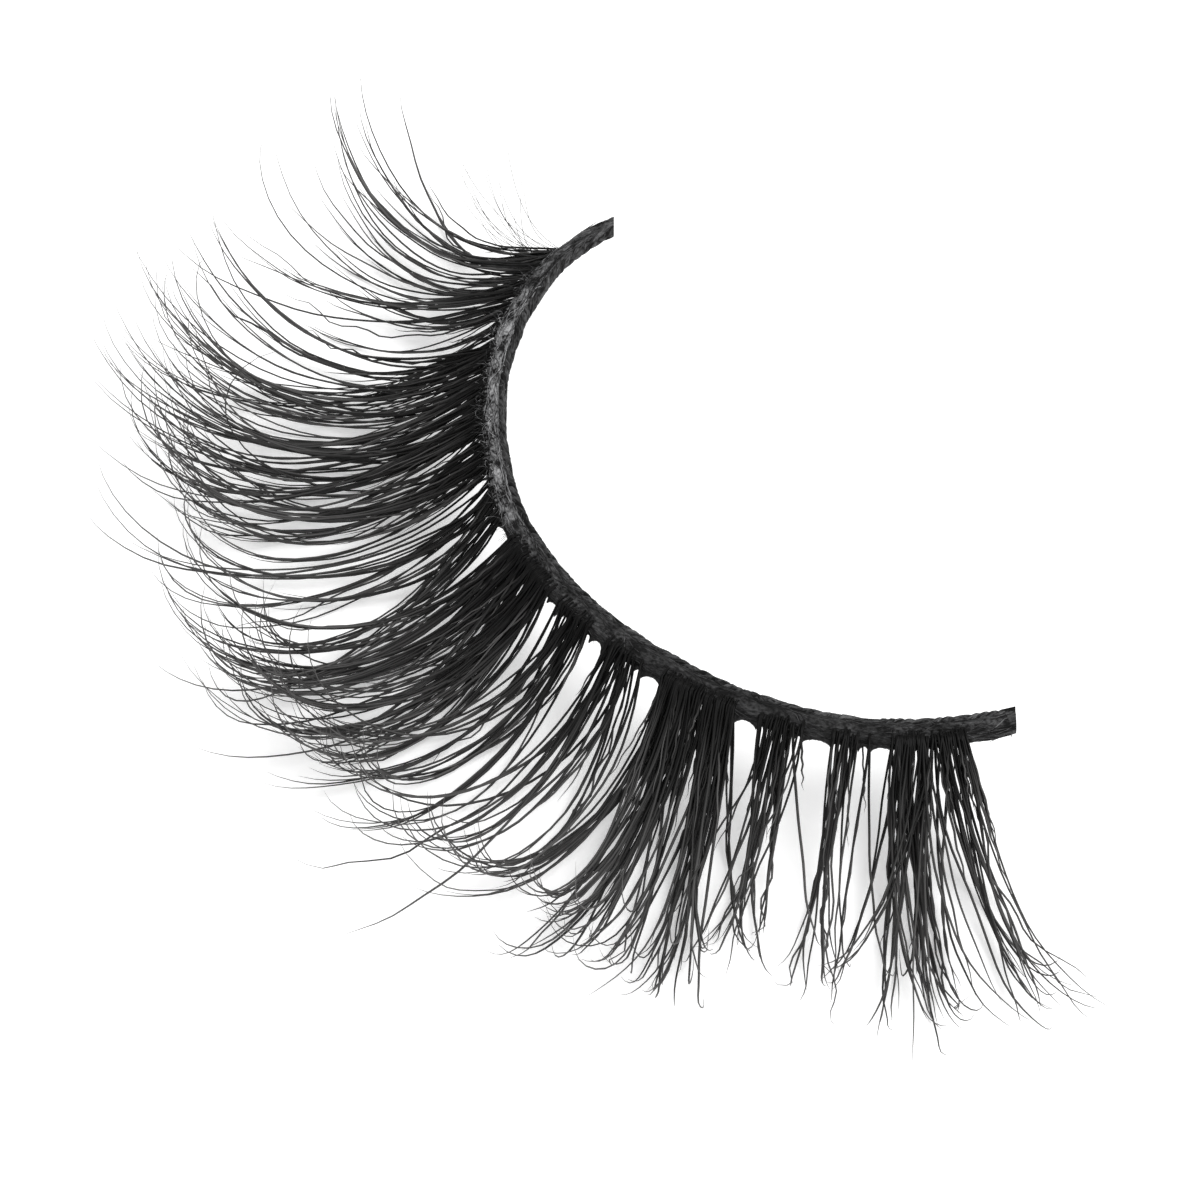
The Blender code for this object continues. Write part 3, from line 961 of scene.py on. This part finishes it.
def hair_material():
    """Black hair with a soft sheen, browner and paler at its fine tip, with painted highlight mid-length.
    """
    material = bpy.data.materials.new("black_hair")
    material.use_nodes = True
    nodes, links = material.node_tree.nodes, material.node_tree.links
    shader = nodes["Principled BSDF"]
    shader.inputs["Specular IOR Level"].default_value = HAIR_SPECULAR
    place = nodes.new("ShaderNodeTexCoord")
    streaks = nodes.new("ShaderNodeTexNoise")
    streaks.inputs["Scale"].default_value = HAIR_STREAK_SCALE
    streaks.inputs["Detail"].default_value = HAIR_STREAK_DETAIL
    links.new(place.outputs["Object"], streaks.inputs["Vector"])
    along = nodes.new("ShaderNodeAttribute")
    along.attribute_name = "along"
    # The greys along the hair: its own paler tip, and painted highlight over the middle of its length
    shade = nodes.new("ShaderNodeValToRGB")
    stops = shade.color_ramp.elements
    stops.remove(stops[1])
    for number, (share, grey) in enumerate(HAIR_GREYS_AND_PAINTED_HIGHLIGHT):
        stop = stops.new(share) if number else stops[0]
        stop.position = share
        stop.color = (*(grey * tint for tint in HAIR_TINT), 1.0)
    links.new(along.outputs["Fac"], shade.inputs["Fac"])
    tone = nodes.new("ShaderNodeAttribute")
    tone.attribute_name = "tone"
    strength = nodes.new("ShaderNodeMapRange")
    strength.inputs["To Min"].default_value = HAIR_STRENGTHS[0]
    strength.inputs["To Max"].default_value = HAIR_STRENGTHS[1]
    links.new(tone.outputs["Fac"], strength.inputs["Value"])
    colour = nodes.new("ShaderNodeVectorMath")
    colour.operation = "SCALE"
    links.new(shade.outputs["Color"], colour.inputs["Vector"])
    links.new(strength.outputs["Result"], colour.inputs["Scale"])
    links.new(colour.outputs["Vector"], shader.inputs["Base Color"])
    gloss = nodes.new("ShaderNodeMapRange")
    gloss.inputs["To Min"].default_value = HAIR_ROUGHNESS[0]
    gloss.inputs["To Max"].default_value = HAIR_ROUGHNESS[1]
    links.new(streaks.outputs["Fac"], gloss.inputs["Value"])
    links.new(gloss.outputs["Result"], shader.inputs["Roughness"])
    relief = nodes.new("ShaderNodeBump")
    relief.inputs["Strength"].default_value = HAIR_RELIEF
    relief.inputs["Distance"].default_value = HAIR_RELIEF_DEPTH
    links.new(streaks.outputs["Fac"], relief.inputs["Height"])
    links.new(relief.outputs["Normal"], shader.inputs["Normal"])
    return material


HAIR = hair_material()
for number, tuft in enumerate(TUFTS, start=1):
    bm = bmesh.new()
    paths, radii = tuft_strands(number, *tuft)
    draw_strands(bm, paths, radii, dice.uniform(0, 1, len(paths)))
    if number == 1:
        draw_strands(bm, *fine_hairs())
    piece_from(f"lashes_{number:02d}", bm, HAIR, "lash_hair", f"tuft_{number:02d}")


# The studio
# The strip lies on a plain white light table under a large soft lamp, in a white room.

FLOOR_SIZE = 3.0
FLOOR_COLOUR = (0.9, 0.9, 0.9, 1.0)
FLOOR_ROUGHNESS = 0.9
FLOOR_SPECULAR = 0.1
FLOOR_GLOW = 0.28
WHITE = (1.0, 1.0, 1.0, 1.0)
ROOM_LIGHT = 0.8


def white_floor():
    """The table top, a plain sheet that glows a little."""
    material = bpy.data.materials.new("white_table")
    material.use_nodes = True
    shader = material.node_tree.nodes["Principled BSDF"]
    shader.inputs["Base Color"].default_value = FLOOR_COLOUR
    shader.inputs["Roughness"].default_value = FLOOR_ROUGHNESS
    shader.inputs["Specular IOR Level"].default_value = FLOOR_SPECULAR
    shader.inputs["Emission Color"].default_value = WHITE
    shader.inputs["Emission Strength"].default_value = FLOOR_GLOW
    bm = bmesh.new()
    bmesh.ops.create_grid(bm, x_segments=1, y_segments=1, size=FLOOR_SIZE / 2)
    mesh = bpy.data.meshes.new("table_top")
    bm.to_mesh(mesh)
    bm.free()
    mesh.materials.append(material)
    floor = bpy.data.objects.new("table_top", mesh)
    bpy.context.scene.collection.objects.link(floor)


def lamp(name, place, aim, size, power):
    """A square soft lamp at a place, facing a point."""
    light = bpy.data.lights.new(name, "AREA")
    light.size = size
    light.energy = power
    lamp_object = bpy.data.objects.new(name, light)
    lamp_object.location = place
    lamp_object.rotation_euler = (Vector(aim) - Vector(place)).to_track_quat("-Z", "Y").to_euler()
    bpy.context.scene.collection.objects.link(lamp_object)


white_floor()
world = bpy.data.worlds.new("white_room")
world.use_nodes = True
world.node_tree.nodes["Background"].inputs["Color"].default_value = WHITE
world.node_tree.nodes["Background"].inputs["Strength"].default_value = ROOM_LIGHT
bpy.context.scene.world = world
lamp("key_lamp", place=(0.25, 0.15, 0.45), aim=(0, 0, 0), size=0.35, power=2.2)
bpy.context.scene.view_settings.view_transform = "Standard"

# The camera, fitted to the band in the photo
CAMERA_AZIMUTH = 59.52
CAMERA_ELEVATION = 50.0
CAMERA_DISTANCE = 0.1974
CAMERA_LENS = 180.0
CAMERA_SENSOR = 36.0
CAMERA_NEAR = 0.01
CAMERA_FAR = 10.0
CAMERA_AIM = (0.000804, 0.002390, 0.0030)

azimuth, elevation = math.radians(CAMERA_AZIMUTH), math.radians(CAMERA_ELEVATION)
to_camera = Vector((math.sin(azimuth) * math.cos(elevation), -math.cos(azimuth) * math.cos(elevation),
                    math.sin(elevation)))
camera_data = bpy.data.cameras.new("camera")
camera_data.lens = CAMERA_LENS
camera_data.sensor_width = CAMERA_SENSOR
camera_data.clip_start = CAMERA_NEAR
camera_data.clip_end = CAMERA_FAR
camera = bpy.data.objects.new("camera", camera_data)
camera.location = Vector(CAMERA_AIM) + to_camera * CAMERA_DISTANCE
camera.rotation_euler = (-to_camera).to_track_quat("-Z", "Y").to_euler()
bpy.context.scene.collection.objects.link(camera)
bpy.context.scene.camera = camera
